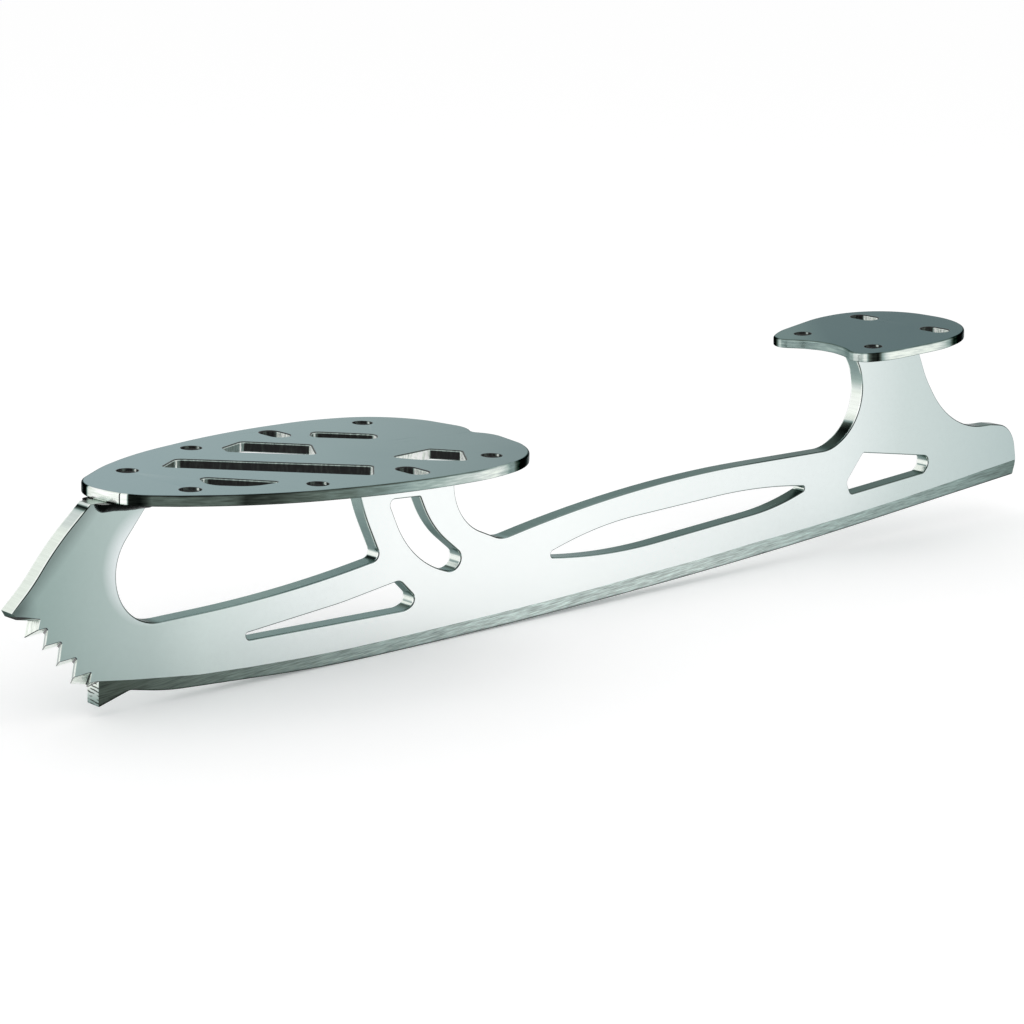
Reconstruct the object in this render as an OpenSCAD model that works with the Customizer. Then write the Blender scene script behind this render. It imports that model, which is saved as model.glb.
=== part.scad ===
// Figure skate blade: one flat steel runner with a toe pick, a sole plate and a
// heel plate brazed onto its three posts, and the braze fillets at the joints.
// Millimetres. +X is forward to the toe, +Y is the blade's left side, +Z is up.
// The origin is on the runner's middle plane at the top of the sole plate,
// at the plate's front end.

/* [Overall] */
// Blade size: front of the sole plate to the back of the heel plate
size_l = 254; // [216:1:292]
// Thickness of the steel runner
blade_t = 3.8; // [3.2:0.1:4.6]
// Thickness of both mounting plates
plate_t = 2.2; // [1.8:0.1:3]
// Height of the heel plate's top above the sole plate's top, at its front screws
heel_rise = 8.8; // [5:0.1:14]
// Slope of the heel plate, up to the rear
heel_pitch = 4.9; // [0:0.1:7]

/* [Plates] */
// Width of the sole plate
sole_w = 60.4; // [54:0.2:68]
// Width of the heel plate
heel_w = 41; // [37:0.2:48]
// Depth of the hollow in the front edge of the heel plate
heel_hollow = 4; // [1:0.5:6]

/* [Screws] */
// Diameter of the screw holes
hole_d = 4.3; // [3.6:0.1:5]
// Diameter of the countersinks on the underside
sink_d = 7.6; // [6:0.1:8.4]
// Length of the sideways slots, end to end
slot_l = 7.5; // [6:0.1:9]
// Distance from the front end of the sole plate to its first row of screws
row_front = 15; // [13:0.1:18]
// Distance from the last row of screws to the rear end of the sole plate
row_rear = 16; // [14:0.1:19]
// Sideways distance between the front holes of the sole plate
row_1_w = 20.6; // [19:0.2:22]
// Sideways distance between the second holes
row_2_w = 41; // [38:0.2:43]
// Sideways distance between the slots of the sole plate
row_3_w = 44.2; // [41:0.2:46]
// Sideways distance between the rear holes of the sole plate
row_4_w = 41.2; // [38:0.2:43]
// Sideways distance between the holes of the heel plate
heel_row_w = 22.4; // [19:0.2:25]

/* [Toe pick] */
// How far each cut across the teeth drops from the left face to the right one
cut_drop = 2; // [0:0.1:3]
// How far each cut runs back over the same thickness
cut_back = 1.65; // [0:0.05:2.5]
// Reach of the drag pick below the start of the rocker
drag_drop = 2.1; // [1:0.1:3]

/* [Braze] */
// Leg of the braze fillets between the posts and the plates
braze_leg = 1.8; // [1:0.1:2.4]

/* [Hidden] */
$fn = 64;

k = size_l / 254;
half_t = blade_t / 2;
plate_under = -plate_t;
sole_front = 0.2 * k;
sole_rear = -99.2 * k;
row_1_x = sole_front - row_front;
row_pitch = (row_1_x - sole_rear - row_rear) / 3;
heel_row_x = -217.6 * k;
heel_slot_x = -241.6 * k;
sink_h = (sink_d - hole_d) / 2;
chord_gap = 0.01;
over = 1;

// Posts: where each one meets the underside of its plate, [front, rear].
front_post = [2.1 * k, -12.3 * k];
middle_post = [-61.7 * k, -91.6 * k];
heel_post = [-221 * k, -244.9 * k];

// Stretch of each post that its two fillets run along, [front, rear].
front_braze = [0.6 * k, front_post[1] + 0.8 * braze_leg];
middle_braze = [middle_post[0] - 0.4 * braze_leg, middle_post[1] + 0.3 * braze_leg];
heel_braze = [heel_post[0] - 0.7 * braze_leg, heel_post[1]];

// Height of the heel plate's underside above a place along the blade.
function heel_under(x) =
    heel_rise - plate_t / cos(heel_pitch) - (x - heel_row_x) * tan(heel_pitch);

// Puts what is drawn level at zero height onto the sloping top of the heel plate.
module on_heel() {
    translate([heel_row_x, 0, heel_rise])
        rotate([0, heel_pitch, 0])
            translate([-heel_row_x, 0, 0])
                children();
}

// Geometry of outlines: corners are [x, y, radius], rounded with arcs.

function corner(p) = [p[0], p[1]];

function unit(v) = v / norm(v);

// Half of the angle between the two sides at a corner.
function half_angle(a, b, c) = acos(unit(a - b) * unit(c - b)) / 2;

// Length from a corner to the point where its arc starts.
function tangent_run(pts, i) =
    let (n = len(pts))
    let (a = corner(pts[(i + n - 1) % n]))
    let (b = corner(pts[i]))
    let (c = corner(pts[(i + 1) % n]))
    pts[i][2] / tan(half_angle(a, b, c));

// Share of its radius that a corner can use beside its neighbour.
function share(pts, i, j) =
    let (side = norm(corner(pts[i]) - corner(pts[j])))
    let (runs = tangent_run(pts, i) + tangent_run(pts, j))
    runs > side ? side / runs : 1;

// Number of chords in an arc, so that no chord lies off it by more than the gap.
function chords(r, turn) = ceil(turn / min(8, 2 * acos(1 - min(1, chord_gap / r))));

function corner_arc(a, b, c, r) =
    let (h = half_angle(a, b, c))
    let (u = unit(a - b))
    let (v = unit(c - b))
    let (mid = b + unit(u + v) * r / sin(h))
    let (start = b + u * r / tan(h) - mid)
    let (turn = 180 - 2 * h)
    let (way = cross(u, v) > 0 ? -1 : 1)
    let (n = chords(r, turn))
    [for (i = [0 : n])
        let (q = way * turn * i / n)
        mid + [
            start[0] * cos(q) - start[1] * sin(q),
            start[0] * sin(q) + start[1] * cos(q)
        ]
    ];

function rounded(pts) =
    let (n = len(pts))
    [for (i = [0 : n - 1])
        let (before = (i + n - 1) % n)
        let (after = (i + 1) % n)
        let (r = pts[i][2] == 0 ? 0 : pts[i][2] * min(share(pts, i, before), share(pts, i, after)))
        for (p = r == 0
            ? [corner(pts[i])]
            : corner_arc(corner(pts[before]), corner(pts[i]), corner(pts[after]), r))
        p
    ];

// Upright slab from an outline in X and Z, centred on the middle plane.
module upright(points, thickness) {
    rotate([90, 0, 0])
        linear_extrude(thickness, center = true)
            polygon(points);
}

// Runner

// Front edge, beak and pick before its teeth are cut, and the ground edge.
toe_line = k * [
    [9.6, -9.1, 60],
    [15, -16.1, 40],
    [19.7, -20.75, 0.5],
    [19, -21.95, 0.6],
    [13.45, -22.55, 0.6],
    [14.8, -27.6, 0],
    [4.9, -39, 0]
];
drag_line = k * [
    [0.6, -39.8, 0],
    [0.6, -40.3 - drag_drop / k, 0],
    [-6.7, -40.3, 2]
];
edge_line = k * [
    [-15.2, -42.1, 60],
    [-55.9, -44.7, 500],
    [-152.6, -44.3, 2700],
    [-292.2, -34.1, 0.6],
    [-293.6, -31, 6]
];
tail_line = k * [
    [-290.9, -20.6, 9],
    [-281.2, -19.3, 9.5],
    [-263.8, -19, 30],
    [-251.9, -4, 29]
];
deck_line = k * [
    [-229.3, -5.3, 13],
    [-221.5, -15.1, 14],
    [-215.4, -18.2, 13],
    [-145.5, -17.5, 450],
    [-104.5, -24.6, 3],
    [-95.6, -20.8, 2.5],
    [-88.9, -13.8, 13.5]
];
window_line = k * [
    [-65.5, -14.2, 43],
    [-70, -23.7, 0.8],
    [-46, -27.4, 320],
    [-6.3, -27.9, 10],
    [-2.5, -14.8, 11.5]
];
runner_outline = concat(
    [[front_post[0], plate_under, 0]],
    toe_line,
    drag_line,
    edge_line,
    tail_line,
    [for (x = [heel_post[1], heel_post[0]]) [x, heel_under(x), 0]],
    deck_line,
    [[middle_post[1], plate_under, 0], [middle_post[0], plate_under, 0]],
    window_line,
    [[front_post[1], plate_under, 0]]
);

wedge_slot = k * [
    [-34.7, -33.8, 0.5],
    [-35, -35.3, 1.2],
    [-77.3, -36.1, 5],
    [-80.5, -34.3, 1.7],
    [-75.3, -29.3, 2.2],
    [-59.5, -31.6, 80]
];
curved_slot = k * [
    [-71.7, -11.4, 1.1],
    [-80.5, -11.8, 0.5],
    [-83.9, -19, 24],
    [-93.6, -26.8, 2.2],
    [-90.5, -29.9, 3],
    [-78.3, -25.7, 23]
];
leaf_slot = k * [
    [-116.4, -30.6, 0.8],
    [-137.6, -33.5, 170],
    [-195.2, -30.2, 80],
    [-208.7, -26.5, 0.7],
    [-189.5, -23.9, 190],
    [-134.3, -25.8, 110]
];
heel_slot = k * [
    [-222.2, -27.3, 1.5],
    [-224, -30.6, 1.5],
    [-253.3, -28.8, 1.5],
    [-257, -24.9, 2],
    [-228.1, -20.5, 1]
];

// Gullets of the teeth on the left face, as [x, z], from the beak down.
gullets = k * [[11.8, -24.6], [8.7, -27.8], [5.4, -31.5]];
last_gullet = k * [2.2, -35.1];

// Direction of the cuts across the teeth, from the left face to the right one.
cut_way = unit([-cut_back, -blade_t, -cut_drop]);
cut_tilt = acos(cut_way[2]);
cut_turn = atan2(cut_way[0], -cut_way[1]);

// A point of the left face seen along the direction of the cuts.
function along_cut(p) = [
    p[0] * cos(cut_turn),
    p[1] * sin(cut_tilt) - p[0] * sin(cut_turn) * cos(cut_tilt)
];

// Notch between two teeth: flat above, steep below, open to the front.
notch = k * [[0, 0], [12, -0.95], [12, -9], [1.56, -9]];

module tooth_cut(gullet) {
    translate([gullet[0], half_t, gullet[1]])
        rotate([cut_tilt, 0, cut_turn])
            translate([0, 0, -3 * blade_t])
                linear_extrude(9 * blade_t)
                    polygon([for (p = notch) along_cut(p)]);
}

// The last notch stays shallower on the right, where the drag pick starts.
module last_cut() {
    intersection() {
        tooth_cut(last_gullet);
        translate([4.6 * k, -half_t, -37.8 * k])
            rotate([0, -13.4, 0])
                rotate([atan(3.2 * k / blade_t), 0, 0])
                    translate([-15 * k, -15 * k, -15 * k])
                        cube([30 * k, 30 * k, 15 * k]);
    }
}

// Notch under the last tooth, up to the flat front of the drag pick.
module drag_cut() {
    translate([0.6 * k, half_t, -37.15 * k])
        rotate([atan(cut_drop / blade_t), 0, 0])
            translate([0, -3 * blade_t, -8 * k])
                cube([12 * k, 6 * blade_t, 8 * k]);
}

module runner() {
    color([0.72, 0.76, 0.76])
        difference() {
            upright(rounded(runner_outline), blade_t);
            for (g = gullets)
                tooth_cut(g);
            last_cut();
            drag_cut();
            upright(rounded(wedge_slot), blade_t + 2 * over);
            upright(rounded(curved_slot), blade_t + 2 * over);
            upright(rounded(leaf_slot), blade_t + 2 * over);
            upright(rounded(heel_slot), blade_t + 2 * over);
        }
}

// Plates

// One half of the sole plate as [x, half width, radius], front to rear.
sole_side = [
    [sole_front / k, 0.221, 9],
    [-24.5, 0.755, 76],
    [-52.5, 0.992, 112],
    [-75.2, 0.996, 46],
    [-91.9, 0.852, 21],
    [-97, 0.495, 12],
    [sole_rear / k, 0.132, 9],
    [-96.8, 0.022, 2]
];

// One half of the heel plate, from the hollow in its front edge to the rear.
heel_side = [
    [-209.3 - heel_hollow / k, 0.09, 6],
    [-212.2, 0.307, 15],
    [-208, 0.663, 4.5],
    [-215.8, 0.878, 20],
    [-233.8, 1.01, 26],
    [-249.2, 0.883, 18],
    [-254.1, 0.24, 19]
];

function plate_half(side, w, s) = [for (p = side) [p[0] * k, s * p[1] * w / 2, p[2] * k]];

function reversed(list) = [for (i = [len(list) - 1 : -1 : 0]) list[i]];

function plate_outline(side, w) =
    rounded(concat(plate_half(side, w, 1), reversed(plate_half(side, w, -1))));

// Lightening slots of the sole plate, as [x, y, radius] from its first row of screws.
bar_long = [[-7.4, -9.2, 1], [-14.1, -13.7, 1.5], [-42.1, 13.9, 1], [-36.5, 20.6, 1]];
bar_short = [[-26.8, -13.2, 1], [-28.2, -17, 1.5], [-35.1, -19.8, 1.5], [-44.8, -9.2, 1], [-39.5, -0.9, 1]];
drop_slot = [[-7.8, 2.2, 1.4], [-18.4, 14.9, 0.7], [-11.2, 14.8, 8], [-5.2, 9, 4]];
stub_slot = [[-49.7, -15.2, 2], [-53.6, -19.4, 1.5], [-62.8, -9.6, 2], [-59.8, -5.6, 2]];
wing_slot = [[-50.6, 9.9, 1], [-62.4, 8.4, 0.6], [-66.4, 13.6, 1], [-60.8, 21.2, 1], [-53.7, 15, 10]];

// The slots keep their places between the rows of screws and across the plate.
function in_sole(pts) =
    let (along = row_pitch / 22.8)
    let (across = sole_w / 60.4)
    rounded([for (p = pts) [row_1_x + p[0] * along, p[1] * across, p[2] * min(along, across)]]);

// Round screw hole down through a plate, countersunk from below.
module screw_hole(x, y) {
    translate([x, y, plate_under - over])
        cylinder(h = plate_t + 2 * over, d = hole_d);
    translate([x, y, plate_under - over])
        cylinder(h = sink_h + over, d1 = sink_d + 2 * over, d2 = hole_d);
}

// Sideways slot for a screw.
module screw_slot(x, y) {
    reach = (slot_l - hole_d) / 2;
    for (s = [-1, 1])
        translate([x, y + s * reach, plate_under - over])
            cylinder(h = plate_t + 2 * over, d = hole_d);
    translate([x - hole_d / 2, y - reach, plate_under - over])
        cube([hole_d, 2 * reach, plate_t + 2 * over]);
}

module sole_plate() {
    color([0.6, 0.66, 0.69])
        difference() {
            translate([0, 0, plate_under])
                linear_extrude(plate_t)
                    difference() {
                        polygon(plate_outline(sole_side, sole_w));
                        polygon(in_sole(bar_long));
                        polygon(in_sole(bar_short));
                        polygon(in_sole(drop_slot));
                        polygon(in_sole(stub_slot));
                        polygon(in_sole(wing_slot));
                    }
            for (s = [-1, 1]) {
                screw_hole(row_1_x, s * row_1_w / 2);
                screw_hole(row_1_x - row_pitch, s * row_2_w / 2);
                screw_slot(row_1_x - 2 * row_pitch, s * row_3_w / 2);
                screw_hole(row_1_x - 3 * row_pitch, s * row_4_w / 2);
            }
        }
}

module heel_plate() {
    color([0.5, 0.56, 0.59])
        on_heel()
            difference() {
                translate([0, 0, plate_under])
                    linear_extrude(plate_t)
                        polygon(plate_outline(heel_side, heel_w));
                for (s = [-1, 1]) {
                    screw_hole(heel_row_x, s * heel_row_w / 2);
                    screw_slot(heel_slot_x, s * heel_row_w / 2);
                }
            }
}

// Braze

// Hollow fillet on one side of a post, under a plate whose top is at zero height.
module fillet(stretch, s) {
    reach = stretch[0] - stretch[1];
    color([0.62, 0.62, 0.58])
        difference() {
            translate([stretch[1], s > 0 ? half_t : -half_t - braze_leg, plate_under - braze_leg])
                cube([reach, braze_leg, braze_leg]);
            translate([stretch[1] - over, s * (half_t + braze_leg * 1.06), plate_under - braze_leg * 1.06])
                rotate([0, 90, 0])
                    cylinder(h = reach + 2 * over, r = braze_leg);
        }
}

module braze_front_left() {
    fillet(front_braze, 1);
}

module braze_front_right() {
    fillet(front_braze, -1);
}

module braze_middle_left() {
    fillet(middle_braze, 1);
}

module braze_middle_right() {
    fillet(middle_braze, -1);
}

module braze_heel_left() {
    on_heel() fillet(heel_braze, 1);
}

module braze_heel_right() {
    on_heel() fillet(heel_braze, -1);
}

runner();
sole_plate();
heel_plate();
braze_front_left();
braze_front_right();
braze_middle_left();
braze_middle_right();
braze_heel_left();
braze_heel_right();
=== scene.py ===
"""Figure skate blade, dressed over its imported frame.

Lengths in the classes are millimetres in the frame's own axes: +X runs forward to the toe, +Y to the blade's left
and +Z up, with the origin on the top of the sole plate. Meshes are written in metres.
"""

from __future__ import annotations

import logging
from dataclasses import dataclass, field, replace
from enum import Enum

import bpy
import numpy as np
from mathutils import Matrix, Vector
from mathutils.geometry import delaunay_2d_cdt

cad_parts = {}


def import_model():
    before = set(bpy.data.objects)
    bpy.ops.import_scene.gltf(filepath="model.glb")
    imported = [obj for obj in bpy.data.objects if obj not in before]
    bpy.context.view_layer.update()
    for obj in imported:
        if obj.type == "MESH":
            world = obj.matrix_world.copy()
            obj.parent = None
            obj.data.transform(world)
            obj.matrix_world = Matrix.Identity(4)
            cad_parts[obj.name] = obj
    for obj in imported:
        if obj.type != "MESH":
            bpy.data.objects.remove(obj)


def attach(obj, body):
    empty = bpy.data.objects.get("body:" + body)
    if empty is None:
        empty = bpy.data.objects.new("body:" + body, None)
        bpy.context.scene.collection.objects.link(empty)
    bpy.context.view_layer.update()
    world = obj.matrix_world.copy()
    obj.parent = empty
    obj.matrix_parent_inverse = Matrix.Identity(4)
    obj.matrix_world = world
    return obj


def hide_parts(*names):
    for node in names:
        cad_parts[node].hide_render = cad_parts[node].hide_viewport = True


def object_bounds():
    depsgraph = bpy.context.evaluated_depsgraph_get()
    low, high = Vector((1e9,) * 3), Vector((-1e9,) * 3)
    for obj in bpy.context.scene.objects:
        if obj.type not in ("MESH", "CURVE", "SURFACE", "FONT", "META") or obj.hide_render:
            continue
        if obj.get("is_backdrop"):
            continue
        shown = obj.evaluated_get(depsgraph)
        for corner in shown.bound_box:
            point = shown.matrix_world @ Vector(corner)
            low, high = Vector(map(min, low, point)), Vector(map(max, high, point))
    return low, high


Array = np.ndarray
Socket = bpy.types.NodeSocket
Piece = bpy.types.Object
Table = tuple[tuple[float, ...], ...]

LOG = logging.getLogger("skate_blade")
MM = 0.001

# Ends of the runner in metres, between which colours change along the blade
TAIL_X, TOE_X = -0.2933, 0.0196

# Sizes that several pieces share, in millimetres and degrees
RUNNER_T, PLATE_T = 3.8, 2.2
HEEL_RISE, HEEL_PITCH, HEEL_X = 8.8, 4.9, -217.6

# Turns of a rim, from 0 to 1, that have the painted highlight line, the painted dark line and the start of the broad
# face's colour
GLEAM_AT, LINE_AT, FACE_FROM = 0.3, 0.5, 0.75


class Side(Enum):
    """A side of the runner, with its sign along Y."""

    LEFT = 1
    RIGHT = -1


class Zone(Enum):
    """A stretch of the runner's surface with a finish of its own, and its place among the material slots."""

    PLATED = 0
    WALL = 1
    GROUND = 2
    CUT = 3
    HATCHED = 4
    # The beak's underside, made dark as painted shade
    UNDER = 5


class PlateZone(Enum):
    """A stretch of a plate's surface, and its place among the material slots."""

    FACE = 0
    EDGE = 1
    PIERCED = 2


# Geometry


def unit(v: Array) -> Array:
    """Vectors of length one, along the last axis."""
    return v / np.maximum(np.linalg.norm(v, axis=-1, keepdims=True), 1e-12)


def crossed(a: Array, b: Array) -> Array:
    """Cross product of vectors in a plane, positive where b is to the left of a."""
    return a[..., 0] * b[..., 1] - a[..., 1] * b[..., 0]


def looked_up(value: Array, table: tuple) -> Array:
    """Values between the rows of a table, each a place and a value."""
    return np.interp(value, *np.transpose(table))


def rounded(corners: Array, least: float, steps: int) -> tuple[Array, Array]:
    """Closed outline whose corners are arcs.

    Formula: an arc of radius r leaves each side of a corner at r over the tangent of half the corner's angle, and
    its centre lies on the bisector at r over the sine of that half angle. Two arcs that want more than their common
    side shrink alike. A normal is the spoke from the centre, turned round where the corner is hollow.

    Args:
        corners: Corners as x, y and radius, with shape (..., n, 3).
        least: Smallest radius, which a sharp corner gets too.
        steps: Points in each arc.

    Returns:
        Points and outward normals, both with shape (..., n * steps, 2).
    """
    p = corners[..., :2]
    before, after = np.roll(p, 1, -2), np.roll(p, -1, -2)
    u, v = unit(before - p), unit(after - p)
    half = np.arccos(np.clip((u * v).sum(-1), -1, 1)) / 2
    radius = np.maximum(corners[..., 2], least)
    run = radius / np.tan(half)
    for end, shift in ((before, 1), (after, -1)):
        room = np.linalg.norm(end - p, axis=-1) / (run + np.roll(run, shift, -1))
        radius = np.minimum(radius, np.maximum(corners[..., 2], least) * room)
    hand = np.sign(crossed(p, after).sum(-1, keepdims=True))
    straight = np.abs(u + v).sum(-1, keepdims=True) < 1e-5
    inward = np.stack([-v[..., 1], v[..., 0]], -1) * hand[..., None]
    centre = p + np.where(straight, inward, unit(u + v)) * (radius / np.sin(half))[..., None]
    start = p + u * (radius / np.tan(half))[..., None] - centre
    way = np.where(straight[..., 0], hand.astype(int), np.where(crossed(u, v) > 0, -1, 1))
    q = (way * (np.pi - 2 * half))[..., None] * np.linspace(0, 1, steps)
    sx, sy = start[..., :1], start[..., 1:]
    spoke = np.stack([sx * np.cos(q) - sy * np.sin(q), sx * np.sin(q) + sy * np.cos(q)], -1)
    points = centre[..., None, :] + spoke
    normals = unit(spoke) * (way * hand)[..., None, None]
    flat = points.shape[:-3] + (-1, 2)
    return points.reshape(flat), normals.reshape(flat)


def inside(points: Array, loops: list[Array]) -> Array:
    """Tells which points lie inside the outer loop and outside its holes.

    Formula: a level ray from an inside point crosses all the loops' sides an odd number of times.

    Args:
        points: Points with shape (n, 2).
        loops: Closed loops, each with shape (m, 2).

    Returns:
        A mask with shape (n,).
    """
    a = np.concatenate(loops)
    b = np.concatenate([np.roll(loop, -1, 0) for loop in loops])
    x, y = points[:, :1], points[:, 1:]
    spans = (a[:, 1] > y) != (b[:, 1] > y)
    rise = np.where(np.abs(b[:, 1] - a[:, 1]) < 1e-12, 1e-12, b[:, 1] - a[:, 1])
    cross = a[:, 0] + (y - a[:, 1]) * (b[:, 0] - a[:, 0]) / rise
    return (spans & (x < cross)).sum(1) % 2 == 1


def fill(loops: list[Array], line: Array | None = None) -> tuple[Array, Array]:
    """Triangles of a flat face with holes.

    Formula: a constrained Delaunay triangulation of all the loops, without the triangles outside the material.

    Args:
        loops: The outer loop and the holes, each with shape (m, 2).
        line: Extra points that the triangles' edges follow, from one point of the outer loop to another.

    Returns:
        Triangles as indices into the loops' points, followed by the line's inner points, and those inner points.
    """
    sides = []
    first = 0
    for loop in loops:
        ring = np.arange(len(loop)) + first
        sides.append(np.stack([ring, np.roll(ring, -1)], 1))
        first += len(loop)
    points = np.concatenate(loops)
    extra = np.empty((0, 2))
    if line is not None:
        ends = [int(np.argmin(np.linalg.norm(loops[0] - line[k], axis=1))) for k in (0, -1)]
        extra = line[1:-1]
        chain = np.concatenate([[ends[0]], first + np.arange(len(extra)), [ends[1]]])
        sides.append(np.stack([chain[:-1], chain[1:]], 1))
        points = np.concatenate([points, extra])
    made = delaunay_2d_cdt([Vector(p) for p in points], np.concatenate(sides).tolist(), [], 0, 1e-7, True)
    back = np.array([origin[0] if origin else -1 for origin in made[3]])
    faces = back[np.array(made[2])]
    faces = faces[(faces >= 0).all(1)]
    centres = points[faces].mean(1)
    return faces[inside(centres, loops)], extra


def linked(name: str, data: bpy.types.ID, place: Matrix | None = None) -> Piece:
    """Makes an object and links it to the scene.

    Args:
        name: Its name.
        data: Its mesh, lamp or camera.
        place: Its matrix, or none for the origin.

    Returns:
        The object.
    """
    made = bpy.data.objects.new(name, data)
    made.matrix_world = place or Matrix()
    bpy.context.collection.objects.link(made)
    return made


def aimed(place: Vector, gaze: Vector) -> Matrix:
    """Matrix of a lamp or camera at a place, looking along a direction."""
    return Matrix.Translation(place) @ gaze.to_track_quat("-Z", "Y").to_matrix().to_4x4()


@dataclass
class Patchwork:
    """A closed mesh gathered from grids and flat faces, with a normal for every corner.

    Every point has a tone, how bright the painted reflection on its wall is, and a share, how much of a broad face's
    colour it has.
    """

    points: list[Array] = field(default_factory=list)
    faces: list[Array] = field(default_factory=list)
    normals: list[Array] = field(default_factory=list)
    tones: list[Array] = field(default_factory=list)
    zones: list[Array] = field(default_factory=list)
    count: int = 0

    def add_points(self, points: Array, tones: Array | None = None) -> int:
        """Adds points.

        Args:
            points: Places with shape (n, 3).
            tones: Their tones and shares, or none where all are one.

        Returns:
            Index of the first.
        """
        first = self.count
        self.points.append(points)
        self.tones.append(np.ones((len(points), 2)) if tones is None else tones)
        self.count += len(points)
        return first

    def add_faces(self, faces: Array, normals: Array | list, zones: Array | int) -> None:
        """Adds faces of one kind, turned so that they look the way of their normals.

        Args:
            faces: Indices with shape (n, 3) or (n, 4).
            normals: Normals of the corners, or one for all.
            zones: Material slot of each face, or one for all.
        """
        normals = np.broadcast_to(normals, (*faces.shape, 3))
        a, b, c, d = np.concatenate(self.points)[faces[:, [0, 1, 2, -1]]].swapaxes(0, 1)
        turned = (np.cross(c - a, d - b if faces.shape[1] == 4 else c - b) * normals.mean(1)).sum(1) < 0
        self.faces.append(np.where(turned[:, None], faces[:, ::-1], faces))
        self.normals.append(np.where(turned[:, None, None], normals[:, ::-1], normals))
        self.zones.append(np.broadcast_to(zones, len(faces)))

    def add_grid(self, points: Array, normals: Array, tones: Array, zones: Array) -> int:
        """Adds a surface over a grid that is closed along its first axis.

        Args:
            points: Points with shape (u, v, 3).
            normals: Normals with the same shape.
            tones: Tones and shares with shape (u, v, 2).
            zones: Material slot of each of the u strips.

        Returns:
            Index of the grid's first point. Point (i, j) is i * v + j further on.
        """
        nu, nv = points.shape[:2]
        first = self.add_points(points.reshape(-1, 3), tones.reshape(-1, 2))
        i, j = np.meshgrid(np.arange(nu), np.arange(nv - 1), indexing="ij")
        k = (i + 1) % nu
        quads = np.stack([i * nv + j, k * nv + j, k * nv + j + 1, i * nv + j + 1], -1).reshape(-1, 4)
        self.add_faces(quads + first, normals.reshape(-1, 3)[quads], np.repeat(zones, nv - 1))
        return first

    def add_flat(
        self, walls: list[Array], firsts: list[int], column: int, axes: list[int], line: Array | None = None
    ) -> tuple[Array, Array]:
        """Finds the triangles of the flat face that one edge of some walls encloses.

        Args:
            walls: Points of each wall with shape (u, v, 3), the outer wall first.
            firsts: Index of each wall's first point.
            column: End of the walls' second axis that the face joins, 0 or -1.
            axes: The two axes in the face's plane.
            line: Extra points that the triangles' edges follow.

        Returns:
            The triangles, and their centres in the plane.
        """
        loops = [wall[:, column][:, axes] for wall in walls]
        index = [first + np.arange(len(w)) * w.shape[1] + column % w.shape[1] for first, w in zip(firsts, walls)]
        faces, extra = fill(loops, line)
        placed = np.repeat(walls[0][:1, column], len(extra), 0)
        placed[:, axes] = extra
        index.append(self.add_points(placed) + np.arange(len(extra)))
        return np.concatenate(index)[faces], np.concatenate([*loops, extra])[faces].mean(1)

    def mesh(self, name: str) -> Piece:
        """Makes the object, with its tones and shares as attributes and its normals on the corners.

        Args:
            name: Name of the piece.

        Returns:
            The object, linked to the scene, at the origin.
        """
        data = bpy.data.meshes.new(name)
        faces = [face for block in self.faces for face in block.tolist()]
        data.from_pydata((np.concatenate(self.points) * MM).tolist(), [], faces)
        data.polygons.foreach_set("material_index", np.concatenate(self.zones).astype(np.int32))
        data.polygons.foreach_set("use_smooth", np.ones(len(faces), dtype=bool))
        tones = np.concatenate(self.tones).astype(np.float32)
        for column, label in enumerate(("tone", "share")):
            made = data.attributes.new(label, "FLOAT", "POINT")
            made.data.foreach_set("value", np.ascontiguousarray(tones[:, column]))
        data.update()
        data.normals_split_custom_set(np.concatenate([n.reshape(-1, 3) for n in self.normals]).tolist())
        return linked(name, data)


@dataclass(frozen=True)
class PaintedReflections:
    """Tones of a polished wall, by the way it faces.

    They stand for the bright and dark surroundings that the wall mirrors. They are painted for a view from the left
    and the front and don't move with it.

    Attributes:
        stops: Rows of an angle in degrees and the tone there, from 0 for black to 1 for white.
        hollow: Tone of a hollow stretch, or None where the stops count there too.
        line: Tone of the thin painted dark line between a rim and the broad face.
        gleam: Tone of the thin painted highlight line between that one and the wall, or None where there is none.
        shown: Rows of an angle and how much of the two lines shows there.
        flute: How much narrow stripes across the wall change its tone.
    """

    stops: Table
    hollow: float | None = None
    line: float = 0.15
    gleam: float | None = 1.0
    shown: tuple = ((-180, 1), (180, 1))
    flute: float = 0.0

    def tone(self, angle: Array, turn: Array, hollow: Array | bool = False) -> Array:
        """Tones and shares of a wall and its rims.

        Formula: the stops give the wall's tone by its angle, with two waves of short period for the stripes. On
        its way to the broad face a rim turns to the gleam, then to the line, and then its share rises to one.

        Args:
            angle: Angle of the wall, in degrees from -180 to 180.
            turn: Turn of the rim, from 0 on the wall to 1 on the broad face.
            hollow: Whether the wall is hollow there.

        Returns:
            Tones and shares, with one more axis of length two.
        """
        wall, shown = looked_up(angle, self.stops), looked_up(angle, self.shown)
        if self.hollow is not None:
            wall = np.where(hollow, self.hollow, wall)
        wall = wall + self.flute * sum(np.sin(np.radians(angle) * ripple) for ripple in (17, 29)) / 2
        gleam = wall if self.gleam is None else wall + (self.gleam - wall) * shown
        tone = wall + (gleam - wall) * np.interp(turn, (0, GLEAM_AT), (0, 1))
        tone = tone + (wall + (self.line - wall) * shown - tone) * np.interp(turn, (GLEAM_AT, LINE_AT), (0, 1))
        return np.clip(np.stack([tone, np.interp(turn, (FACE_FROM, 1), (0, 1))], -1), 0, 1)


# Finishes, whose colour stops and wall tones are mostly painted reflections


def linear(colour: tuple[float, float, float]) -> tuple[float, float, float, float]:
    """Colour in Blender's linear values.

    Args:
        colour: Red, green and blue on a screen, from 0 to 255.

    Returns:
        The same colour, linear, with full cover.
    """
    c = np.array(colour) / 255
    c = np.where(c <= 0.04045, c / 12.92, ((c + 0.055) / 1.055) ** 2.4)
    return (*c.tolist(), 1.0)


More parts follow.
